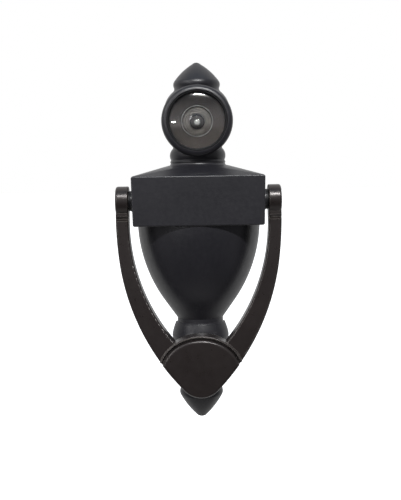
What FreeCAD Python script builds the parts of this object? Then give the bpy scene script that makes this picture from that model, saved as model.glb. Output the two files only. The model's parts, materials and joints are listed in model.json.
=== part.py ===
import FreeCAD, Part
import math
import os

# An urn-shaped door knocker with a wide-angle door viewer in its top, for a door up to 55 mm thick.
# Frame: the origin is on the viewer's axis, at the door's outer face. +Z is up, +Y goes into the
# door, and +X is to the right for a person who stands in front of the door. Millimetres.

Vector = FreeCAD.Vector

# ---------------------------------------------------------------- driving dimensions

door_thickness = 45.0
wall = 2.6

# casting: half widths and heights of the outline
tip_top = 28.5
tip_bottom = -139.3
collar_radius = 16.4
collar_front = 16.5
collar_round = 2.4
collar_bore = 14.0
collar_floor = 5.5
barrel_hole = 7.2
neck_half_width = 13.9
neck_depth_ratio = 0.9
block_top = -25.1
block_bottom = -47.5
block_top_half_width = 29.9
block_bottom_half_width = 29.3
block_depth = 24.0
block_corner = 1.0
block_edge = 0.6
urn_depth_ratio = 0.8
lip_half_width = 28.9
foot_half_width = 13.4
foot_height = -100.4

# fixing screws, machine thread M4
screw_upper = -40.0
screw_lower = -106.5
screw_shank_radius = 2.0
screw_thread_radius = 1.8
screw_neck_radius = 2.2
screw_head_radius = 4.0
screw_head_height = 2.6
screw_reach = 6.6
post_radius = 4.2
post_recess = 0.5
cup_washer_radius = 6.0
cup_washer_thickness = 1.0

# pivots of the bail
pivot_y = -14.0
pivot_z = -36.3
pin_radius = 2.5
pin_running_gap = 0.06
pin_head_radius = 3.5
pin_head_height = 0.9
boss_radius = 4.9
boss_height = 0.9
pivot_washer_radius = 4.6
pivot_washer_thickness = 1.0
clip_thickness = 0.8

# bail
bail_outer = 37.5
bail_inner = 31.7
bail_back = 3.5
bail_front = 4.0
bail_lean = 2.0
eye_radius = 6.7
outer_arc_start = -42.3
outer_arc_change = -63.7
outer_arc_upper_radius = 160.0
outer_arc_lower_radius = 101.0
inner_arc_start = -45.7
inner_arc_radius = 84.1
bail_bottom = -124.7
pad_centre = -113.3
pad_half_width = 17.6
pad_rise = 14.4
pad_proud = 1.2
pad_edge = 1.2
pad_groove = 1.0
pad_groove_depth = 1.4
pad_rim = 1.7
pad_rim_proud = 0.5
pad_rim_edge = 0.4
arm_edge = 0.8

# striking pair
strike_height = -116.5
strike_gap = 0.12
button_radius = 3.0
button_dome = 6.0
button_stem_radius = 1.6
button_seat = -7.2
stud_radius = 3.6
stud_height = 1.2

# viewer, outer half
lens_radius = 13.2
lens_clear_radius = 12.7
lens_front = -14.5
lens_back = -8.0
lens_dome_radius = 42.0
lens_hollow_radius = 9.6
lens_hollow_half_width = 6.4
lens_seat_depth = 0.25
cup_radius = 13.9
cell_radius = 6.5
cell_back = -6.2
shoulder_radius = 7.0
shoulder_end = 2.6
barrel_bore = 5.2
thread_crest = 6.0
thread_root = 5.6
thread_pitch = 1.0
barrel_end = 30.0
small_lens_radius = 5.15
spacer_front = -2.1
spacer_back = 5.9
second_lens_length = 3.0
third_lens_rim = 1.6

# viewer, inner half
sleeve_start = 13.0
sleeve_radius = 7.0
sleeve_step_radius = 7.6
sleeve_thread_bore = 6.06
flange_radius = 12.0
flange_thickness = 2.6
eyepiece_seat_front = 42.0
eyepiece_seat_radius = 5.75
eyepiece_aperture = 4.8
eyepiece_lens_rim = 1.6
inner_washer_radius = 13.0
inner_washer_thickness = 1.0

far = 400.0


# ---------------------------------------------------------------- helpers

def outline_face(start, steps, place):
    """A face inside a closed outline. Each step is a point to reach in a straight line, or a pair of
    points: one on the way round an arc and the one that it reaches."""
    edges = []
    here = place(start)
    for step in list(steps) + [start]:
        if isinstance(step[0], tuple):
            middle, end = place(step[0]), place(step[1])
            edges.append(Part.Arc(here, middle, end).toShape())
        else:
            end = place(step)
            if (end - here).Length < 1e-6:
                continue
            edges.append(Part.LineSegment(here, end).toShape())
        here = end
    return Part.Face(Part.Wire(edges))


def turned(start, *steps):
    """A solid turned about the viewer's axis, from points given as (radius, y)."""
    face = outline_face(start, steps, lambda p: Vector(p[0], p[1], 0))
    return face.revolve(Vector(0, 0, 0), Vector(0, 1, 0), 360)


def turned_upright(depth_ratio, start, *steps):
    """A form turned about the upright axis, from points given as (half width, z), and flattened from
    front to back by the depth ratio."""
    face = outline_face(start, steps, lambda p: Vector(p[0], 0, p[1]))
    solid = face.revolve(Vector(0, 0, 0), Vector(0, 0, 1), 360)
    squash = FreeCAD.Matrix()
    squash.scale(1, depth_ratio, 1)
    return solid.transformGeometry(squash)


def half_turned(depth_ratio, start, *steps):
    """The front half of such a form."""
    return turned_upright(depth_ratio, start, *steps).common(front_half())


def front_half():
    return Part.makeBox(2 * far, far, 2 * far, Vector(-far, -far, -far))


def rod(radius, y_start, y_end, x=0.0, z=0.0):
    """A cylinder along Y."""
    return Part.makeCylinder(radius, y_end - y_start, Vector(x, y_start, z), Vector(0, 1, 0))


def tube(outer, inner, y_start, y_end, x=0.0, z=0.0):
    return rod(outer, y_start, y_end, x, z).cut(rod(inner, y_start, y_end, x, z))


def axle(radius, x_start, x_end):
    """A cylinder along X on the bail's pivot axis."""
    return Part.makeCylinder(radius, x_end - x_start, Vector(x_start, pivot_y, pivot_z), Vector(1, 0, 0))


def slab(x_start, x_end, y_start, y_end, z_start, z_end):
    size = (x_end - x_start, y_end - y_start, z_end - z_start)
    return Part.makeBox(*size, Vector(x_start, y_start, z_start))


def mirrored(shape):
    """The same shape on the other side of the plane x = 0."""
    return shape.mirror(Vector(0, 0, 0), Vector(1, 0, 0))


def fused(shapes):
    return shapes[0].fuse(shapes[1:]).removeSplitter()


def edges_where(shape, wanted):
    return [edge for edge in shape.Edges if wanted(edge.BoundBox)]


def on_plane_y(y):
    """A test for edges that lie in the plane at this y."""
    return lambda box: abs(box.YMin - y) < 1e-4 and abs(box.YMax - y) < 1e-4


def thread_profile(crest, root, y_start, y_end, pitch):
    """Corner points of a row of thread rings, from the start to the end."""
    points = []
    turns = int(round((y_end - y_start) / pitch))
    for turn in range(turns):
        y = y_start + turn * pitch
        points += [(crest, y), (crest, y + 0.25 * pitch), (root, y + 0.5 * pitch), (root, y + 0.75 * pitch)]
    points.append((crest, y_end))
    return points


# ---------------------------------------------------------------- casting

def finial_top():
    return half_turned(
        1.0,
        (0, 6.0),
        (15.6, 6.0),
        ((13.5, 12.2), (11.4, 14.5)),
        ((10.7, 15.7), (10.9, 16.9)),
        ((11.1, 18.1), (10.6, 19.6)),
        ((6.6, 24.2), (2.0, tip_top - 0.8)),
        ((1.1, tip_top - 0.2), (0, tip_top)),
    )


def collar():
    """The round housing of the viewer, with a quarter-round front edge."""
    inset = collar_round * (1 - math.sqrt(0.5))
    round_middle = (collar_radius - inset, inset - collar_front)
    return turned(
        (0, 0),
        (collar_radius, 0),
        (collar_radius, collar_round - collar_front),
        (round_middle, (collar_bore, -collar_front)),
        (0, -collar_front),
    )


def neck():
    return half_turned(
        neck_depth_ratio,
        (0, -8.0),
        (11.7, -8.0),
        (11.7, -12.2),
        ((13.2, -15.3), (12.9, -17.3)),
        ((12.7, -17.8), (12.9, -18.2)),
        ((13.1, -18.7), (12.9, -19.2)),
        ((13.1, -19.9), (neck_half_width, -20.4)),
        (neck_half_width, -24.0),
        (0, -24.0),
    )


def hip(top, base):
    """A slope between two upright steps, each given as (z, half width, depth, radius of its corners)."""
    sections = []
    for z, x, depth, corner in (top, base):
        bend = corner * (1 - math.sqrt(0.5))
        face = outline_face(
            (-x, 0),
            [
                (-x, corner - depth),
                ((bend - x, bend - depth), (corner - x, -depth)),
                (x - corner, -depth),
                ((x - bend, bend - depth), (x, corner - depth)),
                (x, 0),
            ],
            lambda p: Vector(p[0], p[1], z),
        )
        sections.append(face.OuterWire)
    return Part.makeLoft(sections, True, True)


def block():
    corners = [
        (-block_top_half_width, block_top),
        (block_top_half_width, block_top),
        (block_bottom_half_width, block_bottom),
        (-block_bottom_half_width, block_bottom),
    ]
    face = outline_face(corners[0], corners[1:], lambda p: Vector(p[0], 0, p[1]))
    solid = face.extrude(Vector(0, -block_depth, 0))
    solid = solid.makeFillet(block_corner, edges_where(solid, lambda box: box.YLength > block_depth - 0.1))
    return solid.makeFillet(block_edge, edges_where(solid, on_plane_y(-block_depth)))


def urn():
    return half_turned(
        urn_depth_ratio,
        (0, block_bottom + 3.0),
        (lip_half_width, block_bottom + 3.0),
        (lip_half_width, block_bottom - 0.6),
        ((26.0, -65.0), (16.3, -84.4)),
        (10.8, -92.1),
        (10.8, -93.9),
        (11.4, -94.1),
        ((11.7, -94.3), (11.8, -94.7)),
        ((12.8, -97.5), (foot_half_width, foot_height)),
        ((12.6, -103.4), (10.8, -105.8)),
        ((10.0, -107.6), (9.7, -110.0)),
        (9.4, -121.4),
        ((9.6, -124.0), (10.1, -126.4)),
        ((10.2, -127.9), (9.7, -129.1)),
        ((6.9, -133.4), (2.8, tip_bottom + 1.3)),
        ((1.6, tip_bottom + 0.3), (0, tip_bottom)),
    )


def urn_hollow():
    return half_turned(
        urn_depth_ratio,
        (0, block_bottom - 0.4),
        (lip_half_width - 0.9 - wall, block_bottom - 0.4),
        (lip_half_width - 0.9 - wall, -50.2),
        ((22.7, -65.4), (13.6, -83.3)),
        (7.6, -91.0),
        (7.6, -96.4),
        (9.0, -99.0),
        (9.0, -101.4),
        (7.2, -105.0),
        (6.6, -121.0),
        (7.0, -126.0),
        (0, -133.2),
    )


def finial_hollow():
    return half_turned(1.0, (0, 17.0), (7.6, 17.0), (7.6, 18.2), (0, 23.8))


def block_hollow():
    inner_half_width = block_bottom_half_width - wall
    front = wall - block_depth
    box = slab(-inner_half_width, inner_half_width, front, 0, block_bottom + wall, block_top - wall)
    slope = hip((-22.6, 9.4, 8.0, 6.0), (block_top - wall, 24.0, block_depth - wall - 2.0, 1.2))
    passage = half_turned(neck_depth_ratio, (0, -16.9), (9.4, -16.9), (9.4, -23.0), (0, -23.0))
    return fused([box, slope, passage])


def casting_posts():
    posts = []
    for z, front in ((screw_upper, block_depth - 1.0), (screw_lower, 8.2)):
        posts.append(rod(post_radius, -front, -post_recess, 0, z))
    return posts


def pivot_bosses():
    """One boss on the outside and one on the inside of the block's right wall."""
    wall_inside = block_bottom_half_width - wall
    outside = axle(boss_radius, wall_inside + 0.5, block_top_half_width - 0.3 + boss_height)
    inside = axle(boss_radius, wall_inside - 2.2, wall_inside + 0.5)
    return [outside, inside]


def backplate():
    outside = fused([
        finial_top(),
        collar(),
        neck(),
        hip(
            (-20.3, neck_half_width, neck_half_width * neck_depth_ratio, 11.5),
            (block_top - 0.05, block_top_half_width - 0.2, block_depth - 0.8, 1.2),
        ),
        block(),
        urn(),
    ])
    shell = outside.cut([urn_hollow(), finial_hollow(), block_hollow()])
    bosses = pivot_bosses()
    bosses += [mirrored(boss) for boss in bosses]
    shell = fused([shell] + casting_posts() + bosses)
    cuts = [
        rod(collar_bore, -collar_front - 1.0, -collar_floor),
        rod(barrel_hole, -collar_front, 1.0),
        slab(-1.1, 1.1, -collar_floor - 1.0, -collar_floor + 1.4, -11.6, -9.4),
        axle(pin_radius + pin_running_gap, -block_depth * 2, block_depth * 2),
        rod(button_radius + 0.2, -far, button_seat, 0, strike_point().z),
        rod(button_stem_radius + 0.01, -far, 0, 0, strike_point().z),
    ]
    for z in (screw_upper, screw_lower):
        cuts.append(rod(screw_thread_radius + 0.05, -screw_reach - 0.6, 0, 0, z))
    return shell.cut(cuts).removeSplitter()


# ---------------------------------------------------------------- bail

def bail_point(y, z):
    """Where a point of the upright bail stands once it leans away from the door."""
    angle = math.radians(bail_lean)
    below = pivot_z - z
    ahead = pivot_y - y
    return Vector(
        0,
        pivot_y - ahead * math.cos(angle) - below * math.sin(angle),
        pivot_z - below * math.cos(angle) + ahead * math.sin(angle),
    )


def strike_point():
    """The middle of the stud's face on the leaning bail."""
    return bail_point(pivot_y + bail_back + stud_height, strike_height)


def leaning(shape):
    shape.rotate(Vector(0, pivot_y, pivot_z), Vector(-1, 0, 0), bail_lean)
    return shape


def arc_by_angle(centre, radius, start_angle, end_angle):
    """The middle and the end point of an arc, with angles from +X towards -Z, in radians."""
    points = []
    for angle in ((start_angle + end_angle) / 2, end_angle):
        points.append((centre[0] + radius * math.cos(angle), centre[1] - radius * math.sin(angle)))
    return tuple(points)


def bail_outer_steps():
    """The right half of the outer outline, from the top down to the lowest point."""
    upper_centre = (bail_outer - outer_arc_upper_radius, outer_arc_start)
    change = math.asin((outer_arc_start - outer_arc_change) / outer_arc_upper_radius)
    radius_step = outer_arc_upper_radius - outer_arc_lower_radius
    lower_centre = (
        upper_centre[0] + radius_step * math.cos(change),
        upper_centre[1] - radius_step * math.sin(change),
    )
    drop = bail_bottom - lower_centre[1]
    bottom_radius = (outer_arc_lower_radius ** 2 - lower_centre[0] ** 2 - drop ** 2)
    bottom_radius /= 2 * (drop + outer_arc_lower_radius)
    bottom_centre = (0, bail_bottom + bottom_radius)
    meet = math.atan2(lower_centre[1] - bottom_centre[1], -lower_centre[0])
    return [
        (bail_outer, outer_arc_start),
        arc_by_angle(upper_centre, outer_arc_upper_radius, 0, change),
        arc_by_angle(lower_centre, outer_arc_lower_radius, change, meet),
        arc_by_angle(bottom_centre, bottom_radius, meet, math.pi / 2),
    ]


def bail_prism(y_front, y_back):
    """Everything inside the bail's outer outline, between two depths."""
    face = outline_face(
        (0, pivot_z),
        [(bail_outer, pivot_z)] + bail_outer_steps(),
        lambda p: Vector(p[0], y_back, p[1]),
    )
    half = face.extrude(Vector(0, y_front - y_back, 0))
    return half.fuse(mirrored(half)).removeSplitter()


def bail_window(y_front, y_back):
    """The space between the arms."""
    centre = (bail_inner - inner_arc_radius, inner_arc_start)
    meet = math.acos(-centre[0] / inner_arc_radius)
    face = outline_face(
        (0, 0),
        [(bail_inner, 0), (bail_inner, inner_arc_start), arc_by_angle(centre, inner_arc_radius, 0, meet)],
        lambda p: Vector(p[0], y_back, p[1]),
    )
    half = face.extrude(Vector(0, y_front - y_back, 0))
    return half.fuse(mirrored(half)).removeSplitter()


def pad_ellipse(grown, y_front, y_back):
    """The oval that rounds the top of the pad, made larger all round by a margin."""
    ellipse = Part.Ellipse(Vector(0, 0, 0), pad_half_width + grown, pad_rise + grown)
    face = Part.Face(Part.Wire([ellipse.toShape()]))
    face.rotate(Vector(0, 0, 0), Vector(1, 0, 0), 90)
    face.translate(Vector(0, y_back, pad_centre))
    return face.extrude(Vector(0, y_front - y_back, 0))


def bail_eye():
    """The right eye, a short barrel across the top of the arm with a rounded outer rim."""
    barrel = axle(eye_radius, bail_inner, bail_outer)
    barrel = barrel.makeFillet(1.0, edges_where(barrel, lambda box: box.XMin > bail_outer - 0.01))
    return barrel.makeFillet(0.5, edges_where(barrel, lambda box: box.XMax < bail_inner + 0.01))


def arm_undercut(front):
    """The hollow under the right eye, above the place where the flat front of the arm begins."""
    corners = [(front - 3.0, -40.6), (front + 1.5, -44.4), (front, -45.3), (front - 3.0, -45.3)]
    face = outline_face(corners[0], corners[1:], lambda p: Vector(bail_inner - 1.0, p[0], p[1]))
    return face.extrude(Vector(bail_outer - bail_inner + 2.0, 0, 0))


def pad_collar(front, groove_floor):
    """The low rim round the top of the pad."""
    rim_front = front - pad_rim_proud
    rim = bail_prism(rim_front, groove_floor).common(pad_ellipse(pad_rim, rim_front, groove_floor))
    rim = rim.common(slab(-far, far, -far, 0, pad_centre, 0))
    return rim.makeFillet(pad_rim_edge, edges_where(rim, on_plane_y(rim_front)))


def pad(front, back):
    """The raised pad that a hand grips, rounded at its top and as wide as the bail below."""
    pad_front = front - pad_proud
    outline = fused([
        pad_ellipse(0.0, pad_front, back),
        slab(-far, far, pad_front, back, -far, pad_centre),
    ])
    solid = bail_prism(pad_front, back).common(outline)
    return solid.makeFillet(pad_edge, edges_where(solid, on_plane_y(pad_front)))


def knocker_bail():
    back = pivot_y + bail_back
    front = pivot_y - bail_front
    groove_floor = front + pad_groove_depth
    arms = bail_prism(front, back).cut(bail_window(front - 1.0, back + 1.0))
    web = bail_prism(front, back).common(pad_ellipse(pad_rim, front, back))
    body = fused([arms, web])
    along_front = on_plane_y(front)
    body = body.makeFillet(arm_edge, edges_where(body, lambda box: along_front(box) and box.ZMax < -40))
    body = fused([body, pad_collar(front, groove_floor)])
    under_pad = bail_prism(front - pad_proud, groove_floor).common(
        slab(-far, far, -far, 0, -far, pad_centre)
    )
    body = body.cut(fused([pad_ellipse(pad_groove, front - pad_proud, groove_floor), under_pad]))
    body = fused([body, pad(front, groove_floor + 0.5), bail_eye(), mirrored(bail_eye())])
    undercut = arm_undercut(front)
    holes = [
        undercut,
        mirrored(undercut),
        axle(pin_radius, -bail_outer - 1.0, bail_outer + 1.0),
        axle(pin_head_radius + 0.1, bail_outer - pin_head_height, bail_outer + 1.0),
        axle(pin_head_radius + 0.1, -bail_outer - 1.0, -bail_outer + pin_head_height),
    ]
    return leaning(body.cut(holes))


def strike_stud():
    back = pivot_y + bail_back
    stud = rod(stud_radius, back, back + stud_height, 0, strike_height)
    return leaning(stud.makeFillet(0.4, edges_where(stud, on_plane_y(back + stud_height))))


def strike_button():
    """A domed button on a stem that is pressed into the foot of the urn."""
    point = strike_point()
    dome_centre = point.y + (button_dome + strike_gap) / math.cos(math.radians(bail_lean))
    head = rod(button_radius, dome_centre - button_dome, button_seat, 0, point.z)
    head = head.common(Part.makeSphere(button_dome, Vector(0, dome_centre, point.z)))
    stem = rod(button_stem_radius, button_seat - 0.4, button_seat + 3.6, 0, point.z)
    return fused([head, stem])


# ---------------------------------------------------------------- pivots

def pivot_pin():
    """The right pin, pressed into the eye and turning in the block."""
    inner_end = block_bottom_half_width - wall - 4.2
    groove = block_bottom_half_width - wall - 2.35 - clip_thickness
    shank = axle(pin_radius, inner_end, bail_outer - pin_head_height)
    shank = shank.makeChamfer(0.4, edges_where(shank, lambda box: box.XMax < inner_end + 0.01))
    head = axle(pin_head_radius, bail_outer - pin_head_height, bail_outer + 0.3)
    head = head.makeFillet(0.6, edges_where(head, lambda box: box.XMin > bail_outer))
    notch = axle(pin_radius + 1.0, groove, groove + clip_thickness + 0.05).cut(
        axle(pin_radius - 0.5, groove, groove + clip_thickness + 0.05)
    )
    return fused([shank, head]).cut(notch)


def pivot_washer():
    start = block_top_half_width - 0.3 + boss_height + 0.05
    end = start + pivot_washer_thickness
    return axle(pivot_washer_radius, start, end).cut(axle(pin_radius + pin_running_gap, start, end))


def pivot_clip():
    """An open spring clip in the groove of the pin."""
    start = block_bottom_half_width - wall - 2.35 - clip_thickness + 0.02
    end = start + clip_thickness
    clip = axle(pin_radius + 1.8, start, end).cut(axle(pin_radius - 0.47, start, end))
    mouth = slab(start - 1.0, end + 1.0, pivot_y - 1.5, pivot_y + 1.5, pivot_z - 8.0, pivot_z)
    return clip.cut(mouth)


# ---------------------------------------------------------------- viewer, outer half

def cap(sphere_radius, rim_radius, rim_y, outward):
    """Three points across half of a round cap, given as (radius, y): its top, a point half way and
    its rim. Outward is -1 for a cap that rises towards -Y, and 1 for one that rises towards +Y."""
    centre_to_rim = math.sqrt(sphere_radius ** 2 - rim_radius ** 2)
    centre_to_middle = math.sqrt(sphere_radius ** 2 - (rim_radius / 2) ** 2)
    top = (0, rim_y + outward * (sphere_radius - centre_to_rim))
    middle = (rim_radius / 2, rim_y + outward * (centre_to_middle - centre_to_rim))
    return top, middle, (rim_radius, rim_y)


def front_lens():
    """A thick glass, slightly domed in front, with a deep round hollow in its back."""
    top, dome_middle, dome_rim = cap(lens_dome_radius, lens_clear_radius, lens_front, -1)
    bottom, hollow_middle, hollow_rim = cap(lens_hollow_radius, lens_hollow_half_width, lens_back, -1)
    return turned(
        top,
        (dome_middle, dome_rim),
        (lens_radius, lens_front),
        (lens_radius, lens_back),
        hollow_rim,
        (hollow_middle, bottom),
    )


def lens_gasket():
    return tube(lens_radius + 0.4, lens_clear_radius + 0.1, lens_front - 0.3, lens_front)


def lens_retainer():
    """The ring in front of the glass, with a bevel on its inner edge."""
    front = lens_front - 1.4
    return turned(
        (lens_clear_radius + 0.1, lens_front - 0.3),
        (cup_radius, lens_front - 0.3),
        (cup_radius, front + 0.2),
        (cup_radius - 0.2, front),
        (lens_clear_radius + 0.6, front),
        (lens_clear_radius + 0.1, front + 0.8),
    )


def viewer_barrel():
    """The cup that carries the glass, the shoulder in the casting and the threaded tube."""
    thread = thread_profile(thread_crest, thread_root, shoulder_end, barrel_end - 0.4, thread_pitch)
    body = turned(
        (cell_radius, lens_back + lens_seat_depth),
        (lens_clear_radius, lens_back + lens_seat_depth),
        (lens_clear_radius, lens_back),
        (lens_radius + 0.05, lens_back),
        (lens_radius + 0.05, lens_front),
        (cup_radius, lens_front),
        (cup_radius, -collar_floor),
        (shoulder_radius, -collar_floor),
        (shoulder_radius, shoulder_end),
        *thread,
        (thread_crest - 0.4, barrel_end),
        (barrel_bore, barrel_end),
        (barrel_bore, cell_back),
        (cell_radius, cell_back),
    )
    key = slab(-1.0, 1.0, -collar_floor - 0.5, -collar_floor + 1.2, -11.5, -9.5)
    return fused([body, key])


def second_lens():
    """A small glass, flat in front and hollow behind."""
    bottom, middle, rim = cap(6.6, 4.2, spacer_front, -1)
    front = spacer_front - second_lens_length
    return turned(
        (0, front),
        (small_lens_radius, front),
        (small_lens_radius, spacer_front),
        rim,
        (middle, bottom),
    )


def second_lens_retainer():
    """The ring that holds the second glass, with an opening that widens to the front in steps."""
    front = lens_back + lens_seat_depth + 0.05
    return turned(
        (4.4, spacer_front - second_lens_length),
        (small_lens_radius, spacer_front - second_lens_length),
        (small_lens_radius, cell_back - 0.05),
        (cell_radius - 0.05, cell_back - 0.05),
        (cell_radius - 0.05, front),
        (6.3, front),
        (6.2, front + 0.3),
        (5.7, front + 0.3),
        (5.6, front + 0.8),
        (5.1, front + 0.8),
        (5.0, front + 1.3),
        (4.5, front + 1.3),
        (4.4, front + 2.1),
    )


def lens_spacer():
    return tube(small_lens_radius, 4.3, spacer_front, spacer_back)


def third_lens():
    """A small glass, domed on both sides."""
    front_top, front_middle, front_rim = cap(9.0, 4.2, spacer_back, -1)
    back_top, back_middle, back_rim = cap(9.0, 4.2, spacer_back + third_lens_rim, 1)
    return turned(
        front_top,
        (front_middle, front_rim),
        (small_lens_radius, spacer_back),
        (small_lens_radius, spacer_back + third_lens_rim),
        back_rim,
        (back_middle, back_top),
    )


def field_stop():
    """A ring behind the third glass, which limits the view to the sharp part of the picture."""
    front = spacer_back + third_lens_rim
    return turned(
        (4.4, front),
        (small_lens_radius, front),
        (small_lens_radius, front + 2.0),
        (3.6, front + 2.0),
        (3.6, front + 1.4),
    )


# ---------------------------------------------------------------- viewer, inner half

def eyepiece_sleeve():
    """The inner tube, which screws over the barrel, and its flange with two coin slots."""
    flange_front = door_thickness + inner_washer_thickness
    flange_back = flange_front + flange_thickness
    body = turned(
        (sleeve_thread_bore, sleeve_start),
        (sleeve_radius, sleeve_start),
        (sleeve_radius, door_thickness),
        (sleeve_step_radius, door_thickness),
        (sleeve_step_radius, flange_front),
        (flange_radius, flange_front),
        (flange_radius, flange_front + 1.0),
        ((flange_radius - 0.5, flange_back - 0.5), (flange_radius - 2.0, flange_back)),
        (eyepiece_seat_radius + 0.8, flange_back),
        (eyepiece_seat_radius, flange_back - 0.8),
        (eyepiece_seat_radius, eyepiece_seat_front),
        (eyepiece_aperture, eyepiece_seat_front),
        (eyepiece_aperture, eyepiece_seat_front - 1.0),
        (sleeve_thread_bore, eyepiece_seat_front - 1.0),
    )
    slot = slab(flange_radius - 2.2, flange_radius + 1.0, flange_back - 1.6, flange_back + 1.0, -1.2, 1.2)
    return body.cut([slot, mirrored(slot)])


def eyepiece_lens():
    """A domed glass that a person looks through."""
    rim_back = eyepiece_seat_front + eyepiece_lens_rim
    rim_radius = eyepiece_seat_radius - 0.05
    front_top, front_middle, front_rim = cap(22.0, 4.6, eyepiece_seat_front, -1)
    back_top, back_middle, back_rim = cap(14.0, 4.6, rim_back, 1)
    return turned(
        front_top,
        (front_middle, front_rim),
        (rim_radius, eyepiece_seat_front),
        (rim_radius, rim_back),
        back_rim,
        (back_middle, back_top),
    )


def eyepiece_retainer():
    start = eyepiece_seat_front + eyepiece_lens_rim
    outer = eyepiece_seat_radius - 0.05
    return turned(
        (4.7, start),
        (outer, start),
        (outer, start + 2.2),
        (5.2, start + 2.2),
        (4.7, start + 1.2),
    )


def inner_washer():
    return turned(
        (sleeve_step_radius + 0.15, door_thickness),
        (inner_washer_radius, door_thickness),
        (inner_washer_radius, door_thickness + 0.5),
        (inner_washer_radius - 0.5, door_thickness + inner_washer_thickness),
        (sleeve_step_radius + 0.15, door_thickness + inner_washer_thickness),
    )


# ---------------------------------------------------------------- fixing screws

def mounting_screw(z):
    """A machine screw from the inside of the door into a post of the casting."""
    head_front = door_thickness + cup_washer_thickness
    head_back = head_front + screw_head_height
    thread = thread_profile(screw_thread_radius, 1.5, -screw_reach + 0.4, 0.2, 0.68)
    body = turned(
        (0, -screw_reach),
        (1.4, -screw_reach),
        *thread,
        (screw_shank_radius, 0.6),
        (screw_shank_radius, door_thickness - 0.4),
        (screw_neck_radius, door_thickness - 0.4),
        (screw_neck_radius, head_front),
        (screw_head_radius, head_front),
        (screw_head_radius, head_back - 1.2),
        ((screw_head_radius - 0.8, head_back - 0.3), (1.6, head_back)),
        (0, head_back),
    )
    recess = [
        slab(-2.0, 2.0, head_back - 1.4, head_back + 1.0, -0.45, 0.45),
        slab(-0.45, 0.45, head_back - 1.4, head_back + 1.0, -2.0, 2.0),
    ]
    body = body.cut(recess)
    body.translate(Vector(0, 0, z))
    return body


def cup_washer(z):
    washer = turned(
        (screw_neck_radius + 0.2, door_thickness),
        (cup_washer_radius, door_thickness),
        (cup_washer_radius - 0.6, door_thickness + cup_washer_thickness),
        (screw_neck_radius + 0.2, door_thickness + cup_washer_thickness),
    )
    washer.translate(Vector(0, 0, z))
    return washer


# ---------------------------------------------------------------- all pieces

pieces = {
    "backplate": backplate(),
    "strike_button": strike_button(),
    "knocker_bail": knocker_bail(),
    "strike_stud": strike_stud(),
    "viewer_barrel": viewer_barrel(),
    "front_lens": front_lens(),
    "lens_gasket": lens_gasket(),
    "lens_retainer": lens_retainer(),
    "second_lens_retainer": second_lens_retainer(),
    "second_lens": second_lens(),
    "lens_spacer": lens_spacer(),
    "third_lens": third_lens(),
    "field_stop": field_stop(),
    "eyepiece_sleeve": eyepiece_sleeve(),
    "eyepiece_lens": eyepiece_lens(),
    "eyepiece_retainer": eyepiece_retainer(),
    "inner_washer": inner_washer(),
}
for name, make in (("pivot_pin", pivot_pin), ("pivot_washer", pivot_washer), ("pivot_clip", pivot_clip)):
    pieces[name + "_right"] = make()
    pieces[name + "_left"] = mirrored(make())
for place, z in (("upper", screw_upper), ("lower", screw_lower)):
    pieces["mounting_screw_" + place] = mounting_screw(z)
    pieces["cup_washer_" + place] = cup_washer(z)

os.makedirs("parts", exist_ok=True)
for name, shape in pieces.items():
    shape.exportStep("parts/" + name + ".step")
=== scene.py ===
"""Looks of an urn-shaped door knocker with a wide-angle door viewer in its top.

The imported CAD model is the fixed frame. This script gives every piece its material, adds the detail that
is too fine for the CAD, and sets up the floor, the lights and the camera. Lengths are in metres.
"""

import json
import math

import bpy
from mathutils import Matrix, Vector

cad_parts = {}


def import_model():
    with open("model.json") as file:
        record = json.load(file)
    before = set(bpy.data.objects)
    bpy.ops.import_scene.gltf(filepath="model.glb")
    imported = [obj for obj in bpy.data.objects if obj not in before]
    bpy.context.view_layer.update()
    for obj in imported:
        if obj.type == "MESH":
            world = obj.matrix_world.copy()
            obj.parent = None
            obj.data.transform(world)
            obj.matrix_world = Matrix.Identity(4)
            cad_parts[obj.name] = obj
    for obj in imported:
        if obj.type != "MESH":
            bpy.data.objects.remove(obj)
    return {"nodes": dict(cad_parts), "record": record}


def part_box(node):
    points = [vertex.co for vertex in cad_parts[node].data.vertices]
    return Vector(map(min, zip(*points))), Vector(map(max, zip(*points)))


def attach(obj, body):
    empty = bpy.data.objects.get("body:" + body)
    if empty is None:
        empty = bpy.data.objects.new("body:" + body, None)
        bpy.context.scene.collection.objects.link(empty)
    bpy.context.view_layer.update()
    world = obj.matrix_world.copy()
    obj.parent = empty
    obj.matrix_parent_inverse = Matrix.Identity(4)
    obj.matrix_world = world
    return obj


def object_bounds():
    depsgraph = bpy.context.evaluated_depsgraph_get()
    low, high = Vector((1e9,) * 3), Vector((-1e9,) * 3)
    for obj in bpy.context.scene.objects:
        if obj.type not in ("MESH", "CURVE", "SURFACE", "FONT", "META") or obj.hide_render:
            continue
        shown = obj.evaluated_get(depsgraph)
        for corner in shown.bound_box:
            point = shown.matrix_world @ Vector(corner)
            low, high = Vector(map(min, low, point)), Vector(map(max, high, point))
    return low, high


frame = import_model()
nodes = frame["nodes"]
cad_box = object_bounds()
MM = 0.001


# ---------------------------------------------------------------- node helpers

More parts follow.
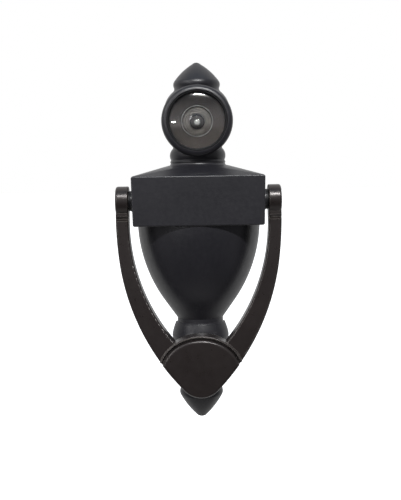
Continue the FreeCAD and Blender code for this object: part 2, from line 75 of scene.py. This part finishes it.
class Shader:
    """A new material with one Principled shader, and short ways to add nodes to it."""

    def __init__(self, name, colour, **values):
        self.material = bpy.data.materials.new(name)
        self.material.use_nodes = True
        self.tree = self.material.node_tree
        self.principled = self.tree.nodes["Principled BSDF"]
        self.set("Base Color", (*colour, 1.0))
        for socket, value in values.items():
            self.set(socket.replace("_", " "), value)

    def set(self, socket, value):
        self.principled.inputs[socket].default_value = value

    def node(self, kind, inputs=(), **settings):
        made = self.tree.nodes.new(kind)
        for setting, value in settings.items():
            setattr(made, setting, value)
        for socket, value in dict(inputs).items():
            if isinstance(value, bpy.types.NodeSocket):
                self.tree.links.new(value, made.inputs[socket])
            else:
                made.inputs[socket].default_value = value
        return made

    def link(self, output, socket):
        self.tree.links.new(output, self.principled.inputs[socket])

    def places(self):
        """Each point's place in the object's own frame, in metres."""
        return self.node("ShaderNodeTexCoord").outputs["Object"]

    def noise(self, size, detail=2.0, roughness=0.5, at=None):
        """A noise whose lumps are about this size, in metres."""
        made = self.node(
            "ShaderNodeTexNoise",
            {"Vector": at or self.places(), "Scale": 1.0 / size, "Detail": detail, "Roughness": roughness},
        )
        return made.outputs["Fac"]

    def spread(self, value, low, high, from_low=0.3, from_high=0.7):
        """The value, stretched to run from low to high."""
        made = self.node(
            "ShaderNodeMapRange",
            {"Value": value, "From Min": from_low, "From Max": from_high, "To Min": low, "To Max": high},
        )
        return made.outputs["Result"]

    def mix(self, share, first, second):
        """A blend of two colours, each given as numbers or as a socket."""
        made = self.node("ShaderNodeMix", data_type="RGBA")
        for index, colour in ((6, first), (7, second)):
            if isinstance(colour, bpy.types.NodeSocket):
                self.tree.links.new(colour, made.inputs[index])
            else:
                made.inputs[index].default_value = (*colour, 1.0)
        self.tree.links.new(share, made.inputs[0])
        return made.outputs[2]

    def maths(self, operation, *values):
        made = self.node("ShaderNodeMath", operation=operation)
        for index, value in enumerate(values):
            if isinstance(value, bpy.types.NodeSocket):
                self.tree.links.new(value, made.inputs[index])
            else:
                made.inputs[index].default_value = value
        return made.outputs[0]

    def bump(self, height, distance, strength=1.0, under=None):
        """A relief of this depth in metres, on top of another one if there is one."""
        inputs = {"Height": height, "Distance": distance, "Strength": strength}
        if under is not None:
            inputs["Normal"] = under
        return self.node("ShaderNodeBump", inputs).outputs["Normal"]

    def edge_wear_and_painted_highlight(self, width):
        """1 on outer edges that are narrower than this width, and 0 elsewhere."""
        rounded = self.node("ShaderNodeBevel", {"Radius": width}, samples=4).outputs["Normal"]
        plain = self.node("ShaderNodeNewGeometry").outputs["Normal"]
        apart = self.node("ShaderNodeVectorMath", {0: rounded, 1: plain}, operation="DOT_PRODUCT")
        return self.spread(apart.outputs["Value"], 1.0, 0.0, 0.82, 0.99)


# ---------------------------------------------------------------- materials

def powder_coat():
    """Matte black powder coat: a fine pebbled skin over a slight orange peel, lighter on the edges, partly
    as wear and partly as a painted highlight.
    """
    shader = Shader("plate_black", (0.017, 0.0165, 0.020), Roughness=0.45)
    fine = shader.noise(0.32 * MM, 2.0, 0.6)
    peel = shader.noise(1.7 * MM, 2.0)
    cloud = shader.noise(14.0 * MM, 3.0)
    coat = shader.mix(shader.spread(cloud, 0.0, 1.0), (0.0115, 0.0112, 0.0140), (0.0150, 0.0145, 0.0178))
    # The lighter edge colour is partly wear and partly a painted highlight along the edge fillets.
    shader.link(shader.mix(shader.edge_wear_and_painted_highlight(0.5 * MM), coat, (0.045, 0.044, 0.048)), "Base Color")
    shader.link(shader.spread(peel, 0.34, 0.42), "Roughness")
    skin = shader.bump(peel, 0.012 * MM, 0.6)
    shader.link(shader.bump(fine, 0.004 * MM, 0.5, skin), "Normal")
    return shader.material


def dark_bronze():
    """Satin dark bronze: a smooth brownish coat, lighter on the edges, partly as rubbed wear and partly as
    a painted highlight.
    """
    warm = (1.0, 0.95, 0.935, 1.0)
    shader = Shader("bail_bronze", (0.017, 0.013, 0.012), Roughness=0.32, Specular_Tint=warm)
    fine = shader.noise(0.25 * MM, 2.0, 0.6)
    peel = shader.noise(2.6 * MM, 2.0)
    cloud = shader.noise(18.0 * MM, 3.0)
    coat = shader.mix(shader.spread(cloud, 0.0, 1.0), (0.0146, 0.0115, 0.0109), (0.0185, 0.0148, 0.0140))
    # The pale edge colour is partly rubbed wear and partly a painted highlight along the arm and pad
    # edges.
    shader.link(shader.mix(shader.edge_wear_and_painted_highlight(0.7 * MM), coat, (0.130, 0.118, 0.108)), "Base Color")
    shader.link(shader.spread(peel, 0.27, 0.34), "Roughness")
    skin = shader.bump(peel, 0.015 * MM, 0.6)
    shader.link(shader.bump(fine, 0.003 * MM, 0.5, skin), "Normal")
    return shader.material


def turned_metal(name, colour, roughness):
    """Satin metal from a lathe, with fine lines round the viewer's axis."""
    line_width = 0.12 * MM
    shader = Shader(name, colour, Metallic=1.0, Roughness=roughness)
    place = shader.node("ShaderNodeSeparateXYZ", {0: shader.places()}).outputs
    across = shader.maths("SQRT", shader.maths(
        "ADD",
        shader.maths("MULTIPLY", place[0], place[0]),
        shader.maths("MULTIPLY", place[2], place[2]),
    ))
    along = shader.node("ShaderNodeCombineXYZ", {0: across, 1: place[1]}).outputs[0]
    lines = shader.noise(line_width, 2.0, 0.6, along)
    cloud = shader.noise(6.0 * MM, 2.0)
    dark = tuple(0.82 * channel for channel in colour)
    shader.link(shader.mix(shader.spread(cloud, 0.0, 1.0), dark, colour), "Base Color")
    shader.link(shader.spread(lines, roughness - 0.06, roughness + 0.08), "Roughness")
    shader.link(shader.bump(lines, 0.004 * MM, 0.5), "Normal")
    return shader.material


def zinc_steel():
    """Bright zinc plating, a little cloudy."""
    shader = Shader("zinc_steel", (0.5, 0.51, 0.53), Metallic=1.0, Roughness=0.3)
    cloud = shader.noise(2.5 * MM, 3.0)
    plating = shader.mix(shader.spread(cloud, 0.0, 1.0), (0.42, 0.43, 0.46), (0.56, 0.56, 0.56))
    shader.link(plating, "Base Color")
    shader.link(shader.spread(cloud, 0.26, 0.38), "Roughness")
    shader.link(shader.bump(shader.noise(0.3 * MM), 0.004 * MM, 0.4), "Normal")
    return shader.material


def clear_glass():
    """Polished glass with the faint grey film of a wiped lens, and a coat that softens its highlights."""
    crown_glass_index = 1.52
    shader = Shader(
        "lens_glass", (0.97, 0.98, 0.98), Roughness=0.0, IOR=crown_glass_index, Transmission_Weight=1.0,
        Specular_IOR_Level=0.0, Coat_Weight=1.0, Coat_Roughness=0.06, Coat_IOR=crown_glass_index,
    )
    film = shader.spread(shader.noise(4.0 * MM, 4.0, 0.6), 0.0, 1.0)
    shader.link(shader.mix(film, (0.98, 0.985, 0.985), (0.90, 0.90, 0.89)), "Base Color")
    return shader.material


def matte_black(name, roughness, grain):
    """Black plastic or rubber, with a moulded grain of this size in millimetres."""
    shader = Shader(name, (0.010, 0.010, 0.011), Roughness=roughness, Specular_IOR_Level=0.25)
    lumps = shader.noise(grain * MM, 2.0)
    shader.link(shader.spread(lumps, roughness - 0.06, roughness + 0.06), "Roughness")
    shader.link(shader.bump(lumps, 0.006 * MM, 0.5), "Normal")
    return shader.material


materials = {
    "plate_black": powder_coat(),
    "bail_bronze": dark_bronze(),
    "satin_nickel": turned_metal("satin_nickel", (0.60, 0.57, 0.53), 0.48),
    "dark_brass": turned_metal("dark_brass", (0.115, 0.099, 0.086), 0.46),
    "lens_glass": clear_glass(),
    "black_trim": matte_black("black_trim", 0.5, 0.3),
    "black_rubber": matte_black("black_rubber", 0.7, 0.2),
    "zinc_steel": zinc_steel(),
}


def dress(node, material):
    """Gives a CAD node its material."""
    mesh = nodes[node].data
    mesh.materials.clear()
    mesh.materials.append(material)


for part in frame["record"]["subparts"]:
    dress(part["node"], materials[part["material_slot"]])


# ---------------------------------------------------------------- detail too fine for the CAD

def turned_ring(name, points, material):
    """A ring on the backplate round the viewer's axis, from its section's corners given as (radius, y)."""
    segments = 128
    corners = []
    faces = []
    count = len(points)
    for turn in range(segments):
        angle = 2 * math.pi * turn / segments
        corners += [(radius * math.cos(angle), y, radius * math.sin(angle)) for radius, y in points]
        start, after = turn * count, (turn + 1) % segments * count
        for index in range(count):
            beside = (index + 1) % count
            faces.append((start + index, start + beside, after + beside, after + index))
    mesh = bpy.data.meshes.new(name)
    mesh.from_pydata(corners, [], faces)
    mesh.materials.append(material)
    mesh.shade_smooth()
    made = bpy.data.objects.new(name, mesh)
    bpy.context.scene.collection.objects.link(made)
    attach(made, "backplate")


def ground_glass():
    """The frosted white of glass that is ground and not polished."""
    shader = Shader("ground_glass", (0.62, 0.62, 0.60), Roughness=0.5)
    shader.link(shader.bump(shader.noise(0.2 * MM), 0.01 * MM, 0.6), "Normal")
    return shader.material


def ground_rim():
    """The ground rim of the hollow in the back of the front glass, in the air gap before its seat."""
    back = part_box("front_lens")[1].y
    corners = [(6.42, 0.03), (6.80, 0.03), (6.75, 0.12), (6.47, 0.12)]
    section = [(radius * MM, back + depth * MM) for radius, depth in corners]
    turned_ring("lens_ground_rim", section, ground_glass())


ground_rim()


# ---------------------------------------------------------------- floor, light and camera

def floor():
    """A pale floor, bright enough to be white, that throws no light of its own on the object."""
    half_width = 20.0
    below_object = 0.35
    glow = (1, 1, 1, 1)
    shader = Shader("floor", (0.9, 0.9, 0.9), Roughness=0.9, Emission_Color=glow, Emission_Strength=1.0)
    mesh = bpy.data.meshes.new("floor")
    corners = [(x * half_width, y * half_width, 0) for x, y in ((-1, -1), (1, -1), (1, 1), (-1, 1))]
    mesh.from_pydata(corners, [], [(0, 1, 2, 3)])
    mesh.materials.append(shader.material)
    made = bpy.data.objects.new("floor", mesh)
    made.location = (0, 0, cad_box[0].z - below_object)
    bpy.context.scene.collection.objects.link(made)
    made.visible_diffuse = False
    made.visible_glossy = False
    made.visible_transmission = False


def area_light(name, place, target, wide, tall, power, lean=0.0):
    """A soft box that points from its place at the target, turned by the lean in degrees."""
    light = bpy.data.lights.new(name, "AREA")
    light.shape = "RECTANGLE"
    light.size = wide
    light.size_y = tall
    light.energy = power
    made = bpy.data.objects.new(name, light)
    made.location = place
    made.rotation_euler = (Vector(target) - Vector(place)).to_track_quat("-Z", "Y").to_euler()
    made.rotation_euler.rotate_axis("Z", math.radians(lean))
    made.visible_camera = False
    bpy.context.scene.collection.objects.link(made)


def world():
    """A room, given as bands from straight below the object to straight above it.

    Behind the object the room is pale. The camera itself sees only white.
    """
    made = bpy.data.worlds.new("room")
    made.use_nodes = True
    tree = made.node_tree

    def share(value, start, end):
        """0 before the start and 1 past the end of a direction's part, with a soft step between."""
        step = tree.nodes.new("ShaderNodeMapRange")
        step.interpolation_type = "SMOOTHSTEP"
        step.inputs["From Min"].default_value = start
        step.inputs["From Max"].default_value = end
        tree.links.new(value, step.inputs["Value"])
        return step.outputs["Result"]

    def blend(share_of_second, first, second):
        mix = tree.nodes.new("ShaderNodeMix")
        mix.data_type = "RGBA"
        tree.links.new(share_of_second, mix.inputs[0])
        for index, colour in ((6, first), (7, second)):
            if isinstance(colour, tuple):
                mix.inputs[index].default_value = (*colour, 1)
            else:
                tree.links.new(colour, mix.inputs[index])
        return mix.outputs[2]

    direction = tree.nodes.new("ShaderNodeSeparateXYZ")
    tree.links.new(tree.nodes.new("ShaderNodeTexCoord").outputs["Generated"], direction.inputs[0])
    across, away, up = (direction.outputs[axis] for axis in "XYZ")
    sideways = tree.nodes.new("ShaderNodeMath")
    sideways.operation = "ABSOLUTE"
    tree.links.new(across, sideways.inputs[0])
    pale_floor = (0.50, 0.49, 0.49)
    dark_ahead, grey_beside = (0.03, 0.03, 0.034), (0.20, 0.20, 0.21)
    left_wall, right_wall = (0.44, 0.43, 0.45), (0.24, 0.24, 0.255)
    wall_ahead = (0.26, 0.26, 0.27)
    blue_sky = (0.22, 0.31, 0.41)
    white_paper = (0.85, 0.85, 0.85)
    table = blend(share(sideways.outputs[0], 0.45, 0.85), dark_ahead, grey_beside)
    low = blend(share(up, -0.93, -0.72), pale_floor, table)
    level = blend(share(across, -0.6, 0.6), left_wall, right_wall)
    upper = blend(share(sideways.outputs[0], 0.50, 0.80), wall_ahead, level)
    walls = blend(share(up, 0.10, 0.26), level, upper)
    room = blend(share(up, -0.15, 0.0), low, walls)
    room = blend(share(up, 0.55, 0.9), room, blue_sky)
    room = blend(share(away, -0.05, 0.15), room, white_paper)
    seen = tree.nodes.new("ShaderNodeLightPath").outputs["Is Camera Ray"]
    tree.links.new(blend(seen, room, (1.0, 1.0, 1.0)), tree.nodes["Background"].inputs["Color"])
    bpy.context.scene.world = made


def lights():
    """A strip light above the front, a soft box at the upper left, and a small bright window."""
    middle = (0, 0, -0.055)
    right_of_middle = (0.085, 0, -0.055)
    glass = (0, 0, 0)
    area_light("ceiling", (0.085, -0.76, 0.633), right_of_middle, 0.42, 0.034, 10.8, lean=-5.0)
    area_light("left", (-0.75, -0.60, 0.45), middle, 0.45, 0.45, 2.5)
    area_light("window", (-0.522, -0.853, 0.044), glass, 0.085, 0.032, 0.5)


def camera():
    """The viewing angle: straight on, level with the neck, with the picture's frame shifted down.

    The focal length and the shifts are in units of which the picture is 500 high.
    """
    frame_height = 500.0
    focal = 714.8
    shift_right, shift_down = 2.5, 75.0
    place = (0, -0.340, -0.0249)
    roll = 0.95
    data = bpy.data.cameras.new("camera")
    data.sensor_width = 36.0
    data.lens = data.sensor_width * focal / frame_height
    data.shift_x = shift_right / frame_height
    data.shift_y = -shift_down / frame_height
    data.clip_start = 0.01
    data.clip_end = 100.0
    made = bpy.data.objects.new("camera", data)
    bpy.context.scene.collection.objects.link(made)
    rolled = Matrix.Rotation(math.radians(roll), 4, "Y")
    made.matrix_world = Matrix.Translation(place) @ rolled @ Matrix.Rotation(math.pi / 2, 4, "X")
    bpy.context.scene.camera = made


floor()
world()
lights()
camera()
bpy.context.scene.view_settings.view_transform = "Standard"
